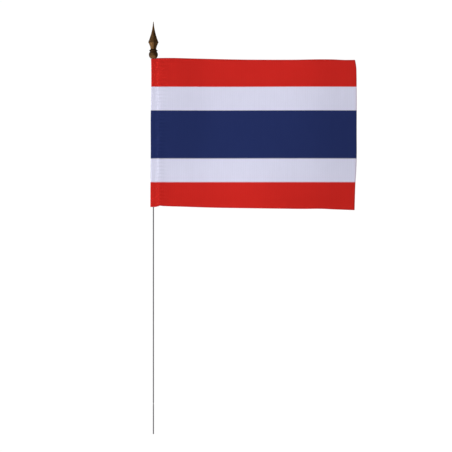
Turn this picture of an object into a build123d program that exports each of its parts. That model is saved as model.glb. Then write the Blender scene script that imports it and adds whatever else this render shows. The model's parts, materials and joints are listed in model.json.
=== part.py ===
from build123d import *
import os
from math import cos, pi, radians, sin, sqrt

# A small table flag. A printed cloth flag hangs by its sewn sleeve on a thin steel wire pole,
# under a moulded spearhead finial. A grip ring on the wire, hidden in the sleeve, holds it up.
# Millimetres. The origin is the centre of the pole's foot end. +Z runs up the pole, +X runs
# towards the flag's fly edge, and the flag's face looks along -Y.

# Pole wire: round, with a flattened stop above the stretch that goes into a base.
WIRE_RADIUS = 0.4
WIRE_LENGTH = 265.0
WIRE_END_CHAMFER = 0.1
SOCKET_LENGTH = 20.0
STOP_LENGTH = 1.6
STOP_HALF_WIDTH = 0.52
STOP_HALF_THICKNESS = 0.28

# Finial, turned part: a ball cut off flat under the wire's bore, a cove and a thin flared disc.
BALL_RADIUS = 2.98
BALL_CENTRE_Z = 257.45
BASE_RADIUS = 1.7
COVE_RADIUS = 2.4
COVE_HOLLOW = 0.1
DISC_RADIUS = 2.8
DISC_EDGE = 0.45
DISC_TOP_Z = 260.8
NECK_RADIUS = 1.7
NECK_Z = 261.4
BASE_Z = BALL_CENTRE_Z - sqrt(BALL_RADIUS**2 - BASE_RADIUS**2)
COVE_Z = BALL_CENTRE_Z + sqrt(BALL_RADIUS**2 - COVE_RADIUS**2)

# Finial, spear: four hollow facets that meet in ridges. Half widths are from axis to ridge.
SPEAR_TURN = 4.0
SPEAR_NECK_HALF_WIDTH = 1.88
SPEAR_HALF_WIDTH = 3.5
SPEAR_TIP_HALF_WIDTH = 0.18
SPEAR_WIDEST_Z = 266.0
SPEAR_TIP_Z = 280.0
LOWER_HOLLOW = 0.2
UPPER_HOLLOW = 0.62

# Running clearance round the wire, in the finial's bore and in the grip ring.
RUNNING_CLEARANCE = 0.03
BORE_RADIUS = WIRE_RADIUS + RUNNING_CLEARANCE
BORE_END_GAP = 0.3

# Grip ring: a short length of soft tube on the wire, inside the sleeve.
RING_LENGTH = 4.0
RING_TOP_Z = 253.4
RING_SLEEVE_CLEARANCE = 0.05

# Flag cloth: one piece of cloth, folded back round the pole and sewn to itself.
CLOTH = 0.2
SLEEVE_FOLD_X = -1.7
SLEEVE_HALF_DEPTH = 1.15
SLEEVE_CLOSE_X = 2.7
SEAM_X = 3.0
SLEEVE_END_X = 3.75
WAVE_HEIGHT = 2.0
WAVE_LENGTH = 120.0
WAVE_STATIONS = 9
HOIST_TOP_Z = 254.9
HOIST_BOTTOM_Z = 154.6
FLY_TOP = (136.7, 254.0)
FLY_MIDDLE = (137.9, 210.0)
FLY_BOTTOM = (136.4, 152.3)
TOP_EDGE_SAG = 0.5

# Seam threads: they lie along the seam, the needle thread in front and the bobbin thread behind.
THREAD_RADIUS = 0.08
THREAD_SINK = 0.03
SEAM_MARGIN = 0.7

os.makedirs("parts", exist_ok=True)


def upright_plane(turn):
    """A vertical plane through the pole's axis, its local x turned by these degrees from X."""
    return Plane(
        origin=(0, 0, 0),
        x_dir=(cos(radians(turn)), sin(radians(turn)), 0),
        z_dir=(sin(radians(turn)), -cos(radians(turn)), 0),
    )


def wave_y(x):
    """How far back the cloth's middle surface stands, this far out from the pole."""
    return WAVE_HEIGHT * sin(2 * pi * (x - SEAM_X) / WAVE_LENGTH) - CLOTH / 2


# Pole wire
with BuildPart() as pole_wire:
    with BuildSketch():
        Circle(WIRE_RADIUS)
    extrude(amount=SOCKET_LENGTH)
    # the stop: pressed from round to oval and back to round
    with BuildSketch(Plane.XY.offset(SOCKET_LENGTH)):
        Circle(WIRE_RADIUS)
    with BuildSketch(Plane.XY.offset(SOCKET_LENGTH + STOP_LENGTH / 2)):
        Ellipse(STOP_HALF_THICKNESS, STOP_HALF_WIDTH)
    with BuildSketch(Plane.XY.offset(SOCKET_LENGTH + STOP_LENGTH)):
        Circle(WIRE_RADIUS)
    loft()
    with BuildSketch(Plane.XY.offset(SOCKET_LENGTH + STOP_LENGTH)):
        Circle(WIRE_RADIUS)
    extrude(amount=WIRE_LENGTH - SOCKET_LENGTH - STOP_LENGTH)
    end_faces = pole_wire.faces().filter_by(Axis.Z).sort_by(Axis.Z)
    chamfer((end_faces[0].edges() + end_faces[-1].edges()), length=WIRE_END_CHAMFER)
pole_wire.part.label = "pole_wire"
export_step(pole_wire.part, "parts/pole_wire.step")

# Finial
with BuildPart() as finial:
    # the spear is what two crossed, hollow-sided slabs have in common
    for quarter, mode in ((45, Mode.ADD), (-45, Mode.INTERSECT)):
        with BuildSketch(upright_plane(SPEAR_TURN + quarter)):
            with BuildLine():
                neck = (SPEAR_NECK_HALF_WIDTH / sqrt(2), NECK_Z)
                widest = (SPEAR_HALF_WIDTH / sqrt(2), SPEAR_WIDEST_Z)
                tip = (SPEAR_TIP_HALF_WIDTH / sqrt(2), SPEAR_TIP_Z)
                Line((0, NECK_Z), neck)
                SagittaArc(neck, widest, LOWER_HOLLOW / sqrt(2))
                SagittaArc(widest, tip, UPPER_HOLLOW / sqrt(2))
                Line(tip, (0, SPEAR_TIP_Z))
                mirror(about=Plane.YZ)
            make_face()
        extrude(amount=SPEAR_HALF_WIDTH, both=True, mode=mode)
    # the turned foot of the finial
    with BuildSketch(Plane.XZ):
        with BuildLine():
            Line((0, BASE_Z), (BASE_RADIUS, BASE_Z))
            ball_side = (BALL_RADIUS, BALL_CENTRE_Z)
            ThreePointArc((BASE_RADIUS, BASE_Z), ball_side, (COVE_RADIUS, COVE_Z))
            disc_under = (DISC_RADIUS, DISC_TOP_Z - DISC_EDGE)
            SagittaArc((COVE_RADIUS, COVE_Z), disc_under, COVE_HOLLOW)
            Line(disc_under, (DISC_RADIUS, DISC_TOP_Z))
            Line((DISC_RADIUS, DISC_TOP_Z), (NECK_RADIUS, NECK_Z))
            Line((NECK_RADIUS, NECK_Z), (0, NECK_Z))
            Line((0, NECK_Z), (0, BASE_Z))
        make_face()
    revolve(axis=Axis.Z)
    # blind bore for the wire's upper end
    with BuildSketch(Plane.XY.offset(BASE_Z)):
        Circle(BORE_RADIUS)
    extrude(amount=WIRE_LENGTH + BORE_END_GAP - BASE_Z, mode=Mode.SUBTRACT)
finial.part.label = "finial"
export_step(finial.part, "parts/finial.step")

# Grip ring
with BuildPart() as grip_ring:
    with BuildSketch(Plane.XY.offset(RING_TOP_Z - RING_LENGTH)):
        Circle(SLEEVE_HALF_DEPTH - CLOTH - RING_SLEEVE_CLEARANCE)
        Circle(BORE_RADIUS, mode=Mode.SUBTRACT)
    extrude(amount=RING_LENGTH)
grip_ring.part.label = "grip_ring"
export_step(grip_ring.part, "parts/grip_ring.step")

# Flag cloth
with BuildPart() as flag_cloth:
    # plan of the cloth, drawn along its middle: from the seam's back layer round the pole to its
    # front layer, and out along the waved sheet
    with BuildSketch(Plane.XY.offset(FLY_BOTTOM[1])):
        seam_back, close_back = (SLEEVE_END_X, CLOTH / 2), (SLEEVE_CLOSE_X, CLOTH / 2)
        fold_depth = SLEEVE_HALF_DEPTH - CLOTH / 2
        with BuildLine():
            Line(seam_back, close_back)
            Spline(close_back, (0, fold_depth), tangents=[(-1, 0), (-1, 0)])
            EllipticalCenterArc((0, 0), -SLEEVE_FOLD_X - CLOTH / 2, fold_depth, 90, arc_size=90)
            mirror(about=Plane.XZ)
        trace(line_width=CLOTH)
        step = (FLY_MIDDLE[0] - SEAM_X) / (WAVE_STATIONS - 1)
        stations = [SEAM_X + step * i for i in range(WAVE_STATIONS)]
        with BuildLine():
            Spline(*[(x, wave_y(x)) for x in stations])
        trace(line_width=CLOTH)
    extrude(amount=HOIST_TOP_Z - FLY_BOTTOM[1])
    # the cut edges: a sagging top, a bowed fly edge and a bottom edge that drops to the fly
    with BuildSketch(Plane.XZ):
        hoist_x = SLEEVE_FOLD_X - CLOTH
        top_middle = ((hoist_x + FLY_TOP[0]) / 2, (HOIST_TOP_Z + FLY_TOP[1]) / 2 - TOP_EDGE_SAG)
        with BuildLine():
            Line((hoist_x, HOIST_BOTTOM_Z), (hoist_x, HOIST_TOP_Z))
            ThreePointArc((hoist_x, HOIST_TOP_Z), top_middle, FLY_TOP)
            ThreePointArc(FLY_TOP, FLY_MIDDLE, FLY_BOTTOM)
            Line(FLY_BOTTOM, (hoist_x, HOIST_BOTTOM_Z))
        make_face()
    extrude(amount=2 * WAVE_HEIGHT, both=True, mode=Mode.INTERSECT)
flag_cloth.part.label = "flag_cloth"
export_step(flag_cloth.part, "parts/flag_cloth.step")


def seam_thread_plane(side):
    """Level plane on the seam line at its lower end: side is -1 in front, 1 behind."""
    y = side * (CLOTH + THREAD_RADIUS - THREAD_SINK)
    return Plane((SEAM_X, y, HOIST_BOTTOM_Z + SEAM_MARGIN))


SEAM_LENGTH = HOIST_TOP_Z - HOIST_BOTTOM_Z - 2 * SEAM_MARGIN

# Needle thread
with BuildPart() as needle_thread:
    with BuildSketch(seam_thread_plane(-1)):
        Circle(THREAD_RADIUS)
    extrude(amount=SEAM_LENGTH)
needle_thread.part.label = "needle_thread"
export_step(needle_thread.part, "parts/needle_thread.step")

# Bobbin thread
with BuildPart() as bobbin_thread:
    with BuildSketch(seam_thread_plane(1)):
        Circle(THREAD_RADIUS)
    extrude(amount=SEAM_LENGTH)
bobbin_thread.part.label = "bobbin_thread"
export_step(bobbin_thread.part, "parts/bobbin_thread.step")
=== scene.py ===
import json
import math

import bpy
import numpy as np
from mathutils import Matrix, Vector, noise


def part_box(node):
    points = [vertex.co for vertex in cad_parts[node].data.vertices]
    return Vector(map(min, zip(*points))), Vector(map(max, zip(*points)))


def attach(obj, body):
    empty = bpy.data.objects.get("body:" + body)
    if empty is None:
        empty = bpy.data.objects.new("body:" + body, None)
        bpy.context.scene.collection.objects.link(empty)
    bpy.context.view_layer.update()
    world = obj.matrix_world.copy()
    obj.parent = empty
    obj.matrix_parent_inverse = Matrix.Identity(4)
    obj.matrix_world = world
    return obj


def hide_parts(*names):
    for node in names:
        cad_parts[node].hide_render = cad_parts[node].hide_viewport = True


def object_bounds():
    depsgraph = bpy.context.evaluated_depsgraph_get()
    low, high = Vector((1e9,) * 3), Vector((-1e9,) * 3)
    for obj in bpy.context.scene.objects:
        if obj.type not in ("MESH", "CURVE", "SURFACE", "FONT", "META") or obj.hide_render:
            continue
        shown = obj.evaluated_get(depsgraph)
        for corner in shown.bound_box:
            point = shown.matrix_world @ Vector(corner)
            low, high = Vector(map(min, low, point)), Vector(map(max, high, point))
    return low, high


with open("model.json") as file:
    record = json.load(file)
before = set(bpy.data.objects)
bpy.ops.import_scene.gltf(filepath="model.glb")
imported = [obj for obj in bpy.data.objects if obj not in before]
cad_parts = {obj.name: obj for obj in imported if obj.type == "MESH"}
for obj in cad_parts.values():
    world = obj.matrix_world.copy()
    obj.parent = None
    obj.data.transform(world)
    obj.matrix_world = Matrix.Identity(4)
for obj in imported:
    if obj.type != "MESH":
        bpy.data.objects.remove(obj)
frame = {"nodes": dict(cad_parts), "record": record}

# A small table flag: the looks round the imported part. Metres, in the part's own frame:
# +Z up the pole, +X towards the fly edge, and the flag's face looks along -Y.
# The wire and the grip ring are the CAD's own meshes. The cloth, its two seam threads and the
# finial are built here, in the places that the CAD gives.

MM = 0.001
cad_low, cad_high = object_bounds()
cloth_low, cloth_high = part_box("flag_cloth")
ring_low, ring_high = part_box("grip_ring")
finial_low, finial_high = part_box("finial")
needle_low, needle_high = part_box("needle_thread")
bobbin_low, bobbin_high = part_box("bobbin_thread")
wire_low, wire_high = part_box("pole_wire")
finishes = {m["slot"]: m for m in frame["record"]["materials"]}


# ---------------------------------------------------------------- mesh helpers

def mesh_object(name, points, faces):
    """A new smooth-shaded mesh object from points in metres."""
    mesh = bpy.data.meshes.new(name)
    mesh.from_pydata([tuple(p) for p in points], [], faces)
    mesh.validate()
    mesh.polygons.foreach_set("use_smooth", [True] * len(mesh.polygons))
    mesh.update()
    obj = bpy.data.objects.new(name, mesh)
    bpy.context.scene.collection.objects.link(obj)
    return obj


def float_attribute(obj, name, values):
    """Stores one number per vertex, for the materials to read."""
    attribute = obj.data.attributes.new(name, "FLOAT", "POINT")
    attribute.data.foreach_set("value", np.asarray(values, np.float32))


def smoothstep(low, high, x):
    """0 below low, 1 above high, and an eased step between."""
    t = np.clip((np.asarray(x, float) - low) / (high - low), 0.0, 1.0)
    return t * t * (3 - 2 * t)


def eased_line(points, x):
    """A smooth curve through (x, value) points: eased between neighbours with their mean slope."""
    px = np.array([p[0] for p in points], float)
    py = np.array([p[1] for p in points], float)
    slope = np.gradient(py, px)
    x = np.clip(np.asarray(x, float), px[0], px[-1])
    i = np.clip(np.searchsorted(px, x) - 1, 0, len(px) - 2)
    h = px[i + 1] - px[i]
    t = (x - px[i]) / h
    start = (1 + 2 * t) * (1 - t) ** 2 * py[i] + t * (1 - t) ** 2 * h * slope[i]
    end = t * t * (3 - 2 * t) * py[i + 1] + t * t * (t - 1) * h * slope[i + 1]
    return start + end


def resampled(line, count):
    """A 2D polyline resampled to count points, evenly along its length."""
    line = np.asarray(line, float)
    along = np.r_[0, np.cumsum(np.linalg.norm(np.diff(line, axis=0), axis=1))]
    wanted = np.linspace(0, along[-1], count)
    return np.c_[np.interp(wanted, along, line[:, 0]), np.interp(wanted, along, line[:, 1])]


def tube_rings(path, radius, sides):
    """Rings of points round a path that runs mostly upwards."""
    path = np.asarray(path, float)
    tangent = np.gradient(path, axis=0)
    tangent /= np.linalg.norm(tangent, axis=1)[:, None]
    across = np.cross(tangent, (0.0, 1.0, 0.0))
    across /= np.linalg.norm(across, axis=1)[:, None]
    other = np.cross(tangent, across)
    turn = np.linspace(0, 2 * math.pi, sides, endpoint=False)
    ring = np.cos(turn)[:, None, None] * across + np.sin(turn)[:, None, None] * other
    return (path + ring * radius).transpose(1, 0, 2)


def skin(rings):
    """Points and faces of a closed skin over equal rings of points, capped at both ends."""
    count, sides = rings.shape[:2]
    points = [*rings.reshape(-1, 3), rings[0].mean(axis=0), rings[-1].mean(axis=0)]
    start, end, last = count * sides, count * sides + 1, (count - 1) * sides
    faces = []
    for i in range(count - 1):
        for j in range(sides):
            k = (j + 1) % sides
            faces.append((i * sides + j, i * sides + k, (i + 1) * sides + k, (i + 1) * sides + j))
    faces += [(start, (j + 1) % sides, j) for j in range(sides)]
    faces += [(end, last + j, last + (j + 1) % sides) for j in range(sides)]
    return points, faces


# ---------------------------------------------------------------- flag cloth

# the cloth's layers lie one thickness apart, and each is built a little thinner than that
CLOTH = 0.2 * MM
HALF_CLOTH = 0.095 * MM
HOIST_TOP_Z = ring_high.z + 1.5 * MM
# how far a cut edge's rounded rim stands out, and how far in its melted fibre reaches
RIM = 0.13 * MM
MELTED = 0.9 * MM

# the sleeve: where its layers close, and how far they stand from the pole's axis, round the
# grip ring and lower down
SEAM_X = (needle_low.x + needle_high.x) / 2
SLEEVE_CLOSE_X = SEAM_X - 0.3 * MM
SLEEVE_END_X = SEAM_X + 0.75 * MM
RING_WRAP = ring_high.x + 0.13 * MM
RING_TAPER = 18 * MM
FLAT_FRONT = 0.56 * MM
SLACK_BACK = 0.66 * MM
# the slope that turns the fold's edge to the front, and the fold's power: 1 would be round,
# and less is squarer
SLEEVE_LEAN = 0.12
FOLD_POWER = 0.5
# the lower edge of the seam allowance
ALLOWANCE_Z = cloth_low.z + 2.42 * MM
STITCH = 2.5 * MM

# the sheet's waves, in millimetres
WAVE_LENGTH = 122
RIPPLE_LENGTH, RIPPLE_DEPTH = 47, 0.16
DIMPLE_LENGTH, DIMPLE_HEIGHT, DIMPLE_DEPTH = 19, 27, 0.16

# the mesh grid
ALLOWANCE_COLUMNS = 5
LOOP_COLUMNS = 64
SHEET_COLUMNS = 176
ROWS = 200

# the finial's ball, which the cloth stays clear of
BALL_RADIUS = 3.10 * MM
FOOT_RADIUS = 1.7 * MM
FOOT_Z = finial_low.z
BALL_Z = FOOT_Z + math.sqrt(BALL_RADIUS**2 - FOOT_RADIUS**2)


def s_curve(start, end, leave=0.0, arrive=0.0):
    """A curve between two points in plan, with these slopes at its ends."""
    start, end = np.array(start), np.array(end)
    lead = (end[0] - start[0]) * 0.4
    t = np.linspace(0, 1, 30)[:, None]
    return (start * (1 - t) ** 3 + 3 * (start + (lead, lead * leave)) * t * (1 - t) ** 2
            + 3 * (end - (lead, lead * arrive)) * t * t * (1 - t) + end * t**3)


def ring_fill(z):
    """1 where the grip ring fills the sleeve, and less below it, down to 0."""
    return smoothstep(ring_low.z - RING_TAPER, ring_low.z, z)


def sleeve_plan(z, seam_y):
    """The sleeve's loop at a height, from the seam's back layer round the fold to its front
    layer. The grip ring fills it at the top. Below, only the wire is in it, and the front
    hangs flat over the wire while the back bends forward to the seam."""
    fill = ring_fill(z)
    front = FLAT_FRONT + (RING_WRAP - FLAT_FRONT) * fill
    back = SLACK_BACK + (RING_WRAP - SLACK_BACK) * fill
    drop = (HOIST_TOP_Z - z) / MM
    folds = [(0, 1.52), (7, 1.39), (14, 1.36), (26, 1.45), (38, 1.74), (65, 1.74), (88, 1.93),
             (100, 1.98)]
    fold_x = eased_line(folds, drop) * MM
    turn = np.linspace(math.pi / 2, 3 * math.pi / 2, 90)[1:-1]
    middle, reach = (back - front) / 2, (back + front) / 2
    # pressed cloth stays flat almost up to the fold
    across, deep = np.cos(turn), np.sin(turn)
    fold = np.c_[-np.abs(across) ** FOLD_POWER * fold_x,
                 middle + np.sign(deep) * np.abs(deep) ** FOLD_POWER * reach]
    # the fold's edge is turned a little to the front, most of all beside the ring
    lean = SLEEVE_LEAN * (1 + 0.4 * fill)
    fold[:, 1] += lean * fold[:, 0]
    behind = s_curve((SLEEVE_CLOSE_X, seam_y + CLOTH), (0.0, back))
    ahead = s_curve((0.0, -front), (SLEEVE_CLOSE_X, seam_y), lean, -0.04)
    return resampled(np.vstack([behind, fold, ahead]), LOOP_COLUMNS + 1)


def top_edge(x):
    """Height of the cloth's cut top edge, out from the pole."""
    mm = [(-2, -0.28), (0, -0.06), (2.5, 0.28), (4.5, 0.34), (10, 0.42), (30, 0.06), (60, -0.59),
          (78, -0.76), (98, -0.80), (114, -0.54), (122, -0.60), (130, -0.93), (138, -0.82)]
    return HOIST_TOP_Z + eased_line(mm, np.asarray(x) / MM) * MM


def bottom_edge(x):
    """Height of the cloth's cut bottom edge, out from the pole."""
    mm = [(-2, 1.92), (2.9, 2.36), (4.0, 2.80), (6, 2.66), (20, 2.17), (42, 1.48), (62, 1.16),
          (86, 0.82), (103, 0.66), (113, 0.74), (124, 0.30), (138, -0.23)]
    return cloth_low.z + eased_line(mm, np.asarray(x) / MM) * MM


def fly_edge(z):
    """How far out the cloth's cut fly edge is at a height."""
    drop = (HOIST_TOP_Z - np.asarray(z)) / MM
    mm = [(-1, -1.3), (2, -0.65), (5, -0.2), (9, -0.05), (20, 0.05), (50, 0.05), (66, 0.05),
          (74, -0.2), (84, -0.8), (92, -1.1), (103, -1.4)]
    return cloth_high.x + eased_line(mm, drop) * MM


def wave(x, z):
    """How far back the sheet stands: one long wave that starts sooner and swings wider at the
    bottom than at the top, and a shallow one across it."""
    out = (x - SEAM_X) / MM
    up = (z - cloth_low.z) / (cloth_high.z - cloth_low.z)
    start = 19 * smoothstep(0, 0.9, up) - 4
    swing = 2.7 - 0.6 * up
    long_wave = swing * (np.sin(2 * math.pi * (out - start) / WAVE_LENGTH)
                         + np.sin(2 * math.pi * start / WAVE_LENGTH))
    ripple = RIPPLE_DEPTH * np.sin(2 * math.pi * out / RIPPLE_LENGTH + 3 * up + 1.3)
    # the fly end hangs a little forward, most at the bottom
    hang = -0.009 * out * (1 - 0.5 * up)
    return (long_wave + ripple + hang) * smoothstep(-1.5, 5, out) * MM


def dimples(x, z):
    """Small soft unevenness that pressed cloth keeps."""
    places = np.c_[x.ravel() / (DIMPLE_LENGTH * MM), z.ravel() / (DIMPLE_HEIGHT * MM)]
    value = [noise.noise(Vector((across, 3.7, up))) for across, up in places]
    fade = smoothstep(SEAM_X, SEAM_X + 14 * MM, x)
    return np.reshape(value, x.shape) * DIMPLE_DEPTH * MM * fade


def seam_shape(x, z):
    """The seam lies forward, level with the front of the sleeve. The cloth rises to a low ridge
    just past the stitches, and each needle hole pulls it down a little."""
    out = (x - SEAM_X) / MM
    forward = (0.35 + 0.36 * ring_fill(z)) * (1 - smoothstep(4, 34, out))
    between = np.cos(2 * math.pi * (z - needle_low.z) / STITCH)
    ridge = smoothstep(-1.1, 1.0, out) * (1 - smoothstep(1.0, 9, out))
    pull = 0.03 * between * np.exp(-((out / 0.9) ** 2))
    return (pull - forward - 0.17 * ridge * (1 - 0.4 * between)) * MM


def sheet_y(x, z):
    """Where the cloth's front layer stands, at its middle, from the sleeve out to the fly."""
    x, z = np.broadcast_arrays(np.asarray(x, float), np.asarray(z, float))
    return wave(x, z) + dimples(x, z) + seam_shape(x, z)


def under_finial(x, y):
    """How high the cloth's cut edge may stand at a place in plan and stay clear of the ball."""
    reach = np.clip(np.hypot(x, y) - HALF_CLOTH, FOOT_RADIUS, BALL_RADIUS)
    return BALL_Z - np.sqrt(BALL_RADIUS**2 - reach**2) - RIM - 0.03 * MM


def cloth_middle():
    """The cloth's middle surface as a grid of points: rows up the flag, columns from the
    seam allowance at the back, round the pole, across the seam and out to the fly."""
    share = np.linspace(0, 1, SHEET_COLUMNS + 1)[1:] ** 1.28
    back_x = np.linspace(SLEEVE_END_X, SLEEVE_CLOSE_X, ALLOWANCE_COLUMNS + 1)[:-1]
    grid = []
    for v in np.linspace(0, 1, ROWS + 1):
        level = cloth_low.z + v * (cloth_high.z - cloth_low.z)
        loop = sleeve_plan(level, sheet_y(SLEEVE_CLOSE_X, level))
        sheet_x = SLEEVE_CLOSE_X + (fly_edge(level) - SLEEVE_CLOSE_X) * share
        x = np.r_[back_x, loop[:, 0], sheet_x]
        y = np.r_[sheet_y(back_x, level) + CLOTH, loop[:, 1], sheet_y(sheet_x, level)]
        low, high = bottom_edge(x), np.minimum(top_edge(x), under_finial(x, y))
        behind = np.arange(len(x)) < len(back_x) + LOOP_COLUMNS // 2
        # the seam allowance hangs a little below the front layer's edge
        low = np.where(behind, np.minimum(low, ALLOWANCE_Z), low)
        grid.append(np.c_[x, y, low + v * (high - low)])
    return np.array(grid)


def border_path(rows, columns):
    """The grid's places round the cloth's cut edge, in order."""
    path = [(0, j) for j in range(columns)]
    path += [(i, columns - 1) for i in range(1, rows)]
    path += [(rows - 1, j) for j in range(columns - 2, -1, -1)]
    return path + [(i, 0) for i in range(rows - 2, 0, -1)]


def rim_points(grid, normal, border):
    """A point just past each place on the border, level with the cloth there."""
    rows, columns = grid.shape[:2]
    inward = {0: 1, rows - 1: rows - 2}
    sideward = {0: 1, columns - 1: columns - 2}
    rim = []
    for i, j in border:
        out = grid[i, j] - grid[inward.get(i, i), sideward.get(j, j)]
        out -= normal[i, j] * (out @ normal[i, j])
        rim.append(grid[i, j] + out / np.linalg.norm(out) * RIM)
    return rim


def cloth_shell(grid):
    """A closed shell round the middle surface, whose cut edges come to a rounded rim. Gives its
    points, its faces and how many of the points, the last ones, are on the rim."""
    rows, columns = grid.shape[:2]
    along = np.gradient(grid, axis=1)
    upward = np.gradient(grid, axis=0)
    normal = np.cross(along, upward)
    normal /= np.linalg.norm(normal, axis=2)[:, :, None]
    front, back = grid + normal * HALF_CLOTH, grid - normal * HALF_CLOTH
    points = np.vstack([front.reshape(-1, 3), back.reshape(-1, 3)])
    number = np.arange(rows * columns).reshape(rows, columns)
    shift = rows * columns
    a, b = number[:-1, :-1].ravel(), number[:-1, 1:].ravel()
    c, d = number[1:, 1:].ravel(), number[1:, :-1].ravel()
    faces = [tuple(q) for q in np.c_[a, b, c, d]]
    faces += [tuple(q) for q in np.c_[a, d, c, b] + shift]
    border = border_path(rows, columns)
    start = len(points)
    points = np.vstack([points, rim_points(grid, normal, border)])
    for k, (i, j) in enumerate(border):
        m = (k + 1) % len(border)
        p, q = number[i, j], number[border[m]]
        faces.append((start + k, start + m, q, p))
        faces.append((p + shift, q + shift, start + m, start + k))
    return points, faces, len(border)


def build_cloth():
    """The cloth, with what its material needs to know at each point: how near a melted cut edge
    it is, whether it is on the printed face, and whether it is on the rim."""
    grid = cloth_middle()
    points, faces, rim = cloth_shell(grid)
    cloth = mesh_object("flag_sheet", points, faces)
    rows, columns = grid.shape[:2]
    row = np.arange(rows)[:, None]
    step = (cloth_high.z - cloth_low.z) / (rows - 1)
    from_level = np.minimum(row, rows - 1 - row) * step
    from_fly = np.abs(grid[:, -1:, 0] - grid[:, :, 0])
    melt = np.clip(1 - np.minimum(from_level, from_fly) / MELTED, 0, 1).ravel()
    float_attribute(cloth, "melt", np.r_[melt, melt, np.ones(rim)])
    face = np.ones(rows * columns)
    float_attribute(cloth, "printed", np.r_[face, 0 * face, np.ones(rim)])
    float_attribute(cloth, "core", np.r_[0 * face, 0 * face, np.ones(rim)])
    return cloth


# ---------------------------------------------------------------- seam threads

POINTS_PER_STITCH = 12
THREAD_SIDES = 8
# how far a thread stands from the seam's middle in its needle holes, and how far it sways
HOLE_DEPTH = 0.06 * MM
SWAY = 0.03 * MM


def build_thread(name, low, high, side):
    """A row of lock stitches: each one lies on the cloth and dips into it at its needle holes.
    Side is -1 in front and 1 behind."""
    radius = (high.x - low.x) / 2
    z = np.linspace(low.z, high.z, int((high.z - low.z) / STITCH) * POINTS_PER_STITCH + 1)
    phase = ((z - low.z) / STITCH) % 1.0
    lie = np.sin(np.pi * phase) ** 0.35
    seam_middle = sheet_y(SEAM_X, z) + CLOTH / 2
    y = seam_middle + side * (HOLE_DEPTH + (CLOTH + radius * 0.55 - HOLE_DEPTH) * lie)
    x = SEAM_X + SWAY * np.sin(2 * np.pi * phase) * side
    return mesh_object(name, *skin(tube_rings(np.c_[x, y, z], radius, THREAD_SIDES)))


# ---------------------------------------------------------------- finial

FINIAL_SIDES = 96
# the spear's turn on the wire, and its (radius, height) down one ridge
SPEAR_TURN = math.radians(2)
SPEAR_TIP = (0.21 * MM, finial_high.z)
SPEAR_WIDEST = (3.54 * MM, FOOT_Z + 11.0 * MM)
SPEAR_NECK = (1.96 * MM, FOOT_Z + 6.4 * MM)
UPPER_HOLLOW = 0.62 * MM
LOWER_HOLLOW = 0.28 * MM
# 1 would make the four sides meet in sharp ridges
RIDGE_POWER = 1.06
# the disc's rounded rim: its middle, as (radius, height), and its own radius
DISC_RIM = (2.50 * MM, FOOT_Z + 5.42 * MM)
DISC_HALF = 0.38 * MM
# the cove under the disc, in millimetres, with its heights above the foot
COVE_RADIUS, COVE_HOLLOW = 2.46, 0.06
COVE_TOP, COVE_HEIGHT = 5.15, 0.95
BALL_START, BALL_END = math.radians(34), -math.acos(FOOT_RADIUS / BALL_RADIUS)
FOOT_RIM = 0.03 * MM
# how much lower the mould left the right side, for each unit of width
MOULD_SLIP = 0.03
# the depth of the dents on the spear and on the turned foot, and how far they are apart
DENT, TURNED_DENT, DENT_LENGTH = 0.035 * MM, 0.015 * MM, 1.1 * MM


def hollow_side(start, end, hollow, count):
    """Profile rows from one (radius, height) to another, along a flat side that sags inwards."""
    t = np.linspace(0, 1, count)
    radius = start[0] + (end[0] - start[0]) * t - 4 * hollow * t * (1 - t)
    return [(r, z, 0.0) for r, z in zip(radius, start[1] + (end[1] - start[1]) * t)]


def turned_arc(radius, z, size, start, end, count):
    """Profile rows along an arc about a (radius, height), between two angles."""
    return [(radius + size * math.cos(turn), z + size * math.sin(turn), 1.0)
            for turn in np.linspace(start, end, count)]


def finial_profile():
    """(radius, height, roundness) down the outside, from the spear's tip to its foot. Roundness
    is 1 where the finial is turned and 0 where it is four flat sides."""
    rows = hollow_side(SPEAR_TIP, SPEAR_WIDEST, UPPER_HOLLOW, 60)
    rows += hollow_side(SPEAR_WIDEST, SPEAR_NECK, LOWER_HOLLOW, 26)[1:]
    rows += [(1.90 * MM, FOOT_Z + 6.27 * MM, 0.5), (1.94 * MM, FOOT_Z + 6.17 * MM, 1.0)]
    rows += turned_arc(*DISC_RIM, DISC_HALF, math.radians(70), math.radians(-60), 9)
    for height in (4.95, 4.70, 4.45, 4.28):
        hollow = COVE_HOLLOW * math.sin(math.pi * (COVE_TOP - height) / COVE_HEIGHT)
        rows.append(((COVE_RADIUS - hollow) * MM, FOOT_Z + height * MM, 1.0))
    rows += turned_arc(0, BALL_Z, BALL_RADIUS, BALL_START, BALL_END, 40)
    # the foot's rounded rim, and in to the bore
    return rows + [(FOOT_RADIUS - 0.1 * MM, FOOT_Z - FOOT_RIM, 1.0), (1.0 * MM, FOOT_Z, 1.0)]


def spear_radius(turn):
    """Distance from the axis to a square with rounded ridges, for a ridge at distance 1."""
    across, deep = np.abs(np.cos(turn)), np.abs(np.sin(turn))
    return (across**RIDGE_POWER + deep**RIDGE_POWER) ** (-1 / RIDGE_POWER)


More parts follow.
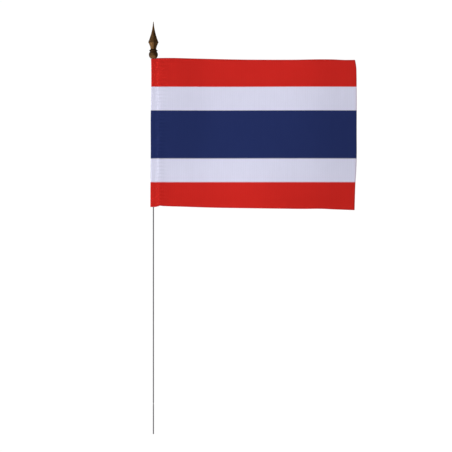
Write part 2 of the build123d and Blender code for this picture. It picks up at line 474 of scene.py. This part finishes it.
def build_finial():
    """The finial, from its profile, with the small dents of a cheap moulding and a blind bore."""
    turn = np.linspace(0, 2 * math.pi, FINIAL_SIDES, endpoint=False)
    # crowd the sides towards the four ridges
    turn = turn - 0.16 * np.sin(4 * turn)
    square = spear_radius(turn)
    round_ring = np.c_[np.cos(turn + SPEAR_TURN), np.sin(turn + SPEAR_TURN)]
    rings = []
    for radius, z, roundness in finial_profile():
        ring = round_ring * (radius * (roundness + (1 - roundness) * square))[:, None]
        depth = DENT + (TURNED_DENT - DENT) * roundness
        for point in ring:
            dent = noise.fractal(Vector((*point, z)) / DENT_LENGTH, 1.0, 2.0, 3) * depth
            point *= 1 + dent / max(radius, 0.6 * MM)
        slip = MOULD_SLIP * smoothstep(0.0, 3 * MM, radius)
        slip *= smoothstep(BALL_Z, FOOT_Z + 5 * MM, z)
        rings.append(np.c_[ring, z - slip * ring[:, 0]])
    bore = round_ring * (wire_high.x + 0.03 * MM)
    for z in (FOOT_Z, FOOT_Z + 0.1 * MM, wire_high.z + 0.3 * MM):
        rings.append(np.c_[bore, np.full(FINIAL_SIDES, z)])
    return mesh_object("spear_finial", *skin(np.array(rings)[::-1]))


# ---------------------------------------------------------------- materials

class Nodes:
    """A short way to write the nodes of a material or of the world."""

    def __init__(self, owner):
        self.owner = owner
        owner.use_nodes = True
        self.tree = owner.node_tree

    def put(self, socket, value):
        if isinstance(value, bpy.types.NodeSocket):
            self.tree.links.new(value, socket)
        else:
            socket.default_value = value

    def add(self, kind, inputs=None, **settings):
        node = self.tree.nodes.new("ShaderNode" + kind)
        for key, value in settings.items():
            setattr(node, key, value)
        for key, value in (inputs or {}).items():
            self.put(node.inputs[key], value)
        return node

    def maths(self, operation, a, b=0.0, c=0.0):
        return self.add("Math", {0: a, 1: b, 2: c}, operation=operation).outputs[0]

    def mix(self, share, a, b, blend="MIX"):
        node = self.add("Mix", data_type="RGBA", blend_type=blend)
        for index, value in ((0, share), (6, a), (7, b)):
            self.put(node.inputs[index], value)
        return node.outputs[2]

    def place(self):
        return self.add("TexCoord").outputs["Object"]

    def place_parts(self):
        return self.add("SeparateXYZ", {0: self.place()}).outputs

    def stretched(self, scale):
        return self.add("Mapping", {"Vector": self.place(), "Scale": scale}).outputs[0]

    def noise(self, scale, detail=3.0, roughness=0.5, stretch=(1, 1, 1)):
        inputs = {"Vector": self.stretched(stretch), "Scale": scale, "Detail": detail,
                  "Roughness": roughness}
        return self.add("TexNoise", inputs).outputs["Fac"]

    def ramp(self, value, stops):
        node = self.add("ValToRGB", {0: value})
        ends = node.color_ramp.elements
        while len(ends) < len(stops):
            ends.new(0.5)
        for end, (at, colour) in zip(ends, stops):
            end.position = at
            end.color = (*((colour,) * 3 if isinstance(colour, float) else colour), 1.0)
        return node.outputs[0]

    def attribute(self, name):
        return self.add("Attribute", attribute_name=name).outputs["Fac"]

    def bump(self, height, distance, strength=1.0):
        inputs = {"Height": height, "Distance": distance, "Strength": strength}
        return self.add("Bump", inputs).outputs[0]

    def finish(self, **inputs):
        shader = self.tree.nodes["Principled BSDF"]
        for key, value in inputs.items():
            self.put(shader.inputs[key.replace("_", " ")], value)
        return self.owner


def material_nodes(name):
    return Nodes(bpy.data.materials.new(name))


RED = (0.555, 0.0165, 0.0120)
WHITE = (0.665, 0.665, 0.815)
BLUE = (0.0135, 0.0240, 0.1050)
# the darker ink's creep into the white, each band edge's half width, and its raggedness
INK_CREEP = 0.15 * MM
EDGE_SOFTNESS = 0.12 * MM
EDGE_BLEED = 0.16 * MM
# the knit: its rib and course pitches, and how far they wander
RIB_PITCH = 0.75 * MM
COURSE_PITCH = 0.5 * MM
KNIT_WANDER = 0.35 * MM


def printed_bands(n, z):
    """The ink's colour at a height: five level bands whose edges bleed a little."""
    bleed = n.maths("SUBTRACT", n.noise(2600, 2.0), 0.5)
    height = n.maths("MULTIPLY_ADD", bleed, EDGE_BLEED, z)
    low, tall = cloth_low.z, cloth_high.z - cloth_low.z
    share = n.maths("DIVIDE", n.maths("SUBTRACT", height, low), tall)
    stops, soft = [(0.0, RED)], EDGE_SOFTNESS / tall
    colours = (RED, WHITE, BLUE, WHITE, RED)
    edges = finishes["printed_cloth"]["pattern"]["band_edges_m"]
    for edge, below, above in zip(edges, colours, colours[1:]):
        at = (edge - low + (INK_CREEP if above is WHITE else -INK_CREEP)) / tall
        stops += [(at - soft, below), (at + soft, above)]
    return n.ramp(share, stops)


def knit_relief(n, x, z):
    """How high the yarn stands: fine and broad upright ribs, and the courses across them."""
    def rib(coordinate, pitch):
        return n.maths("SINE", n.maths("MULTIPLY", coordinate, 2 * math.pi / pitch))

    wander = n.maths("MULTIPLY", n.maths("SUBTRACT", n.noise(180, 2.0), 0.5), KNIT_WANDER)
    rib_x = n.maths("ADD", x, wander)
    fine = rib(rib_x, RIB_PITCH)
    broad = rib(rib_x, 2 * RIB_PITCH)
    course = rib(n.maths("ADD", z, wander), COURSE_PITCH)
    knit = n.maths("MULTIPLY_ADD", broad, 0.45, n.maths("MULTIPLY", fine, 0.45))
    return n.maths("MULTIPLY_ADD", course, 0.30, knit)


def worn_ink(n, ink, knit):
    """The ink as the yarn took it: uneven in tone with the knit, in streaks and in clouds."""
    streak = n.maths("SUBTRACT", n.noise(900, 2.0, 0.6, (1, 1, 0.06)), 0.5)
    cloudy = n.maths("SUBTRACT", n.noise(120, 3.0), 0.5)
    shade = n.maths("MULTIPLY_ADD", knit, 0.022, 1.0)
    shade = n.maths("MULTIPLY_ADD", streak, 0.05, shade)
    shade = n.maths("MULTIPLY_ADD", cloudy, 0.04, shade)
    grey = n.add("CombineColor", {0: shade, 1: shade, 2: shade}).outputs[0]
    return n.mix(1.0, ink, grey, "MULTIPLY")


def cloth_material():
    """Knitted polyester, printed in level bands: fine upright ribs, ink worn into the yarn,
    a paler reverse and hot-cut edges where the fibre has melted together."""
    n = material_nodes("printed_cloth")
    x, _, z = n.place_parts()
    knit = knit_relief(n, x, z)
    colour = worn_ink(n, printed_bands(n, z), knit)
    # the ink shows through the reverse, a little paler
    pale = n.mix(0.035, colour, (0.55, 0.55, 0.62, 1.0))
    colour = n.mix(n.attribute("printed"), pale, colour)
    melt = n.attribute("melt")
    deep = n.mix(1.0, colour, (0.90, 0.72, 0.74, 1.0), "MULTIPLY")
    colour = n.mix(n.maths("MULTIPLY", melt, 0.8), colour, deep)
    # the ink doesn't reach the yarn's core, so a cut edge is a paler line
    core = n.maths("SMOOTH_MIN", n.attribute("core"), 0.75, 0.1)
    colour = n.mix(core, colour, (0.72, 0.70, 0.76, 1.0))
    rough = n.maths("MULTIPLY_ADD", melt, -0.25, 0.78)
    bump = n.bump(knit, 0.018 * MM, 0.6)
    return n.finish(Base_Color=colour, Roughness=rough, Normal=bump, Specular_IOR_Level=0.16)


def wire_material():
    """Drawn spring steel: fine lengthwise draw lines, faint smudges and a dull film."""
    n = material_nodes("drawn_steel")
    lines = n.noise(14000, 2.0, 0.6, (1, 1, 0.02))
    film = n.noise(160, 4.0, 0.6, (1, 1, 0.4))
    colour = n.ramp(film, [(0.3, (0.27, 0.25, 0.27)), (0.7, (0.36, 0.335, 0.355))])
    colour = n.mix(n.maths("MULTIPLY", lines, 0.35), colour, (0.20, 0.188, 0.202, 1.0))
    # the wire is paler towards its foot than in the stretch just under the flag
    height = n.place_parts()[2]
    towards_foot = n.add("MapRange", {"Value": height, "From Min": 0.15, "From Max": 0.03})
    bright = n.maths("MULTIPLY", towards_foot.outputs["Result"], 0.28)
    colour = n.mix(bright, colour, (0.62, 0.59, 0.61, 1.0))
    rough = n.maths("MULTIPLY_ADD", film, 0.18, n.maths("MULTIPLY_ADD", lines, 0.10, 0.24))
    bump = n.bump(lines, 0.004 * MM, 0.5)
    return n.finish(Base_Color=colour, Roughness=rough, Metallic=1.0, Normal=bump)


def bronze_material():
    """Antique-bronze coat on moulded plastic: dark brown in the hollows, rubbed to a paler brass
    on edges and the ball's crown, with a mottled patina, fine pits and painted shade round the
    ball's middle."""
    n = material_nodes("antique_bronze")
    mottle = n.noise(430, 4.0, 0.62)
    patches = n.noise(170, 3.0, 0.55)
    body = n.ramp(mottle, [(0.32, (0.085, 0.036, 0.011)), (0.50, (0.205, 0.098, 0.031)),
                           (0.70, (0.345, 0.180, 0.064))])
    edge = n.add("NewGeometry").outputs["Pointiness"]
    worn = n.ramp(edge, [(0.50, 0.0), (0.56, 1.0)])
    worn = n.maths("MULTIPLY", worn, n.ramp(patches, [(0.40, 0.15), (0.62, 1.0)]))
    colour = n.mix(n.maths("MULTIPLY", worn, 0.5), body, (0.52, 0.32, 0.14, 1.0))
    hollow = n.ramp(edge, [(0.42, 1.0), (0.495, 0.0)])
    colour = n.mix(n.maths("MULTIPLY", hollow, 0.85), colour, (0.022, 0.011, 0.004, 1.0))
    # the dark wash stays thickest round the disc and in the cove under it; the dark band round the
    # ball's middle is painted shade, which dims the ball's reflection above its highlight
    height = n.place_parts()[2]
    level = n.maths("DIVIDE", n.maths("SUBTRACT", height, FOOT_Z), 10 * MM)
    level = n.maths("ADD", level, n.maths("MULTIPLY_ADD", patches, 0.1, -0.05))
    # levels 0.21 to 0.29 are the ball's middle: the darkening there is painted shade, not wash
    wash_and_ball_shade = n.ramp(level, [(0.13, 0.0), (0.21, 0.52), (0.29, 0.55), (0.35, 0.12), (0.42, 0.4),
                          (0.48, 0.7), (0.62, 0.7), (0.68, 0.0)])
    colour = n.mix(wash_and_ball_shade, colour, (0.022, 0.012, 0.005, 1.0))
    rough = n.maths("MULTIPLY_ADD", mottle, 0.25, 0.28)
    pits = n.noise(2400, 3.0, 0.6)
    bump = n.bump(n.maths("MULTIPLY_ADD", pits, 0.4, mottle), 0.03 * MM, 0.45)
    return n.finish(Base_Color=colour, Roughness=rough, Metallic=0.9, Normal=bump,
                    Specular_IOR_Level=0.3)


def tube_material():
    """Milky soft tube: slightly see-through, with a dusty skin."""
    n = material_nodes("soft_tube")
    dust = n.noise(900, 4.0, 0.6)
    colour = n.ramp(dust, [(0.3, (0.60, 0.60, 0.56)), (0.7, (0.74, 0.74, 0.70))])
    rough = n.maths("MULTIPLY_ADD", dust, 0.3, 0.35)
    bump = n.bump(dust, 0.01 * MM, 0.5)
    return n.finish(Base_Color=colour, Roughness=rough, Normal=bump, Transmission_Weight=0.25,
                    IOR=1.42)


def thread_material():
    """Clear nylon: it takes the cloth's colour from behind and glints along its length."""
    n = material_nodes("clear_nylon")
    lines = n.noise(9000, 2.0, 0.5, (1, 1, 0.1))
    colour = n.ramp(lines, [(0.3, (0.80, 0.80, 0.82)), (0.7, (0.92, 0.92, 0.93))])
    rough = n.maths("MULTIPLY_ADD", lines, 0.2, 0.18)
    return n.finish(Base_Color=colour, Roughness=rough, Transmission_Weight=0.9, IOR=1.4,
                    Alpha=0.15)


# ---------------------------------------------------------------- the object

sheet = build_cloth()
sheet.data.materials.append(cloth_material())
# the finial's aged coat is too dull to mirror the cloth under it
sheet.visible_glossy = False
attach(sheet, "flag")
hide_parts("flag_cloth")

nylon = thread_material()
for thread_name, node, low, high, side in (
    ("needle_stitches", "needle_thread", needle_low, needle_high, -1),
    ("bobbin_stitches", "bobbin_thread", bobbin_low, bobbin_high, 1),
):
    thread = build_thread(thread_name, low, high, side)
    thread.data.materials.append(nylon)
    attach(thread, "flag")
    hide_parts(node)

spear = build_finial()
spear.data.materials.append(bronze_material())
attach(spear, "finial")
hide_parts("finial")

for node, make in (("pole_wire", wire_material), ("grip_ring", tube_material)):
    slots = frame["nodes"][node].data.materials
    slots.clear()
    slots.append(make())


# ---------------------------------------------------------------- studio

# the brightness of the white background, just past white
PAST_WHITE = 1.03
# the room's brightness away from its lit side and towards it, and where that side is
ROOM_DIM, ROOM_BRIGHT = 0.13, 1.30
LIT_SIDE = Vector((-0.58, -0.50, -0.64)).normalized()
# half the floor's width, and how far it lies under the pole's foot
FLOOR_SIZE, FLOOR_GAP = 6.0, 0.2 * MM


def soft_light(name, at, aim, size, power):
    """A square softbox of this size, in metres, that faces its aim and leaves no glint. Its
    power is in watts."""
    light = bpy.data.lights.new(name, "AREA")
    light.shape, light.size, light.energy = "SQUARE", size, power
    lamp = bpy.data.objects.new(name, light)
    lamp.visible_glossy = lamp.visible_camera = False
    lamp.location = at
    lamp.rotation_mode = "QUATERNION"
    lamp.rotation_quaternion = (Vector(aim) - Vector(at)).to_track_quat("-Z", "Y")
    bpy.context.scene.collection.objects.link(lamp)


def build_world():
    """White to the camera. To the object it is a dim room, bright low down in front and to
    the left, as over a lit sheet of paper."""
    world = bpy.data.worlds.new("studio")
    bpy.context.scene.world = world
    n = Nodes(world)
    direction = n.add("TexCoord").outputs["Generated"]
    side = n.add("VectorMath", {0: direction, 1: LIT_SIDE}, operation="DOT_PRODUCT")
    towards = n.add("MapRange", {"Value": side.outputs["Value"], "From Min": -1.0})
    falling = n.maths("POWER", towards.outputs["Result"], 4.0)
    room = n.add("MapRange", {"Value": falling, "To Min": ROOM_DIM, "To Max": ROOM_BRIGHT})
    seen = n.add("LightPath").outputs["Is Camera Ray"]
    strength = n.add("Mix", {"Factor": seen, "A": room.outputs["Result"], "B": PAST_WHITE})
    background = n.tree.nodes["Background"]
    n.put(background.inputs["Color"], (1, 1, 1, 1))
    n.put(background.inputs["Strength"], strength.outputs["Result"])


def paper_material():
    """Pale paper, which fades into the white of the room far away and seen from near level."""
    n = material_nodes("pale_paper")
    tone = n.ramp(n.noise(3.0, 2.0), [(0.3, (0.80, 0.80, 0.80)), (0.7, (0.82, 0.82, 0.82))])
    paper = n.finish(Base_Color=tone, Roughness=0.95, Specular_IOR_Level=0.0)
    away = n.add("VectorMath", {0: n.place()}, operation="LENGTH").outputs["Value"]
    distant = n.add("MapRange", {"Value": away, "From Min": 0.5, "From Max": 1.4})
    facing = n.add("LayerWeight", {"Blend": 0.5}).outputs["Facing"]
    level_view = n.add("MapRange", {"Value": facing, "From Min": 0.62, "From Max": 0.84})
    fade = n.maths("MAXIMUM", distant.outputs["Result"], level_view.outputs["Result"])
    fade = n.maths("MULTIPLY_ADD", fade, 0.5, 0.5)
    seen = n.add("LightPath").outputs["Is Camera Ray"]
    white = n.add("Emission", {"Strength": PAST_WHITE})
    shader = n.tree.nodes["Principled BSDF"]
    both = n.add("MixShader", {0: n.maths("MULTIPLY", fade, seen), 1: shader.outputs[0],
                               2: white.outputs[0]})
    n.put(n.tree.nodes["Material Output"].inputs[0], both.outputs[0])
    return paper


def build_floor():
    """A sheet of pale paper on a level table."""
    far, level = FLOOR_SIZE, wire_low.z - FLOOR_GAP
    corners = [(-far, -far, level), (far, -far, level), (far, far, level), (-far, far, level)]
    floor = mesh_object("floor", corners, [(0, 1, 2, 3)])
    floor.data.materials.append(paper_material())
    # the metal mirrors the room, not the paper
    floor.visible_glossy = False


build_world()
build_floor()
# the picture's middle is left of the object's, and a little above it
middle = (cad_low + cad_high) / 2 + Vector((-17.91, 0, 1.3)) * MM
soft_light("key", (-0.6, -0.67, 0.12), middle, 0.2, 6.1)
soft_light("fill", (0.55, -0.62, 0.42), middle, 0.4, 1.12)
soft_light("back", (0.3, 1.2, 0.6), middle, 1.0, 12.0)

# a long lens, square to the flag, from where the picture is this wide at the pole
PICTURE_WIDTH = 0.3069
LENS, SENSOR = 400.0, 36.0
lens = bpy.data.cameras.new("camera")
lens.lens, lens.sensor_width = LENS, SENSOR
camera = bpy.data.objects.new("camera", lens)
camera.location = middle + Vector((0, -PICTURE_WIDTH * LENS / SENSOR, 0))
camera.rotation_euler = (math.radians(90), 0, 0)
bpy.context.scene.collection.objects.link(camera)
bpy.context.scene.camera = camera
bpy.context.scene.view_settings.view_transform = "Standard"
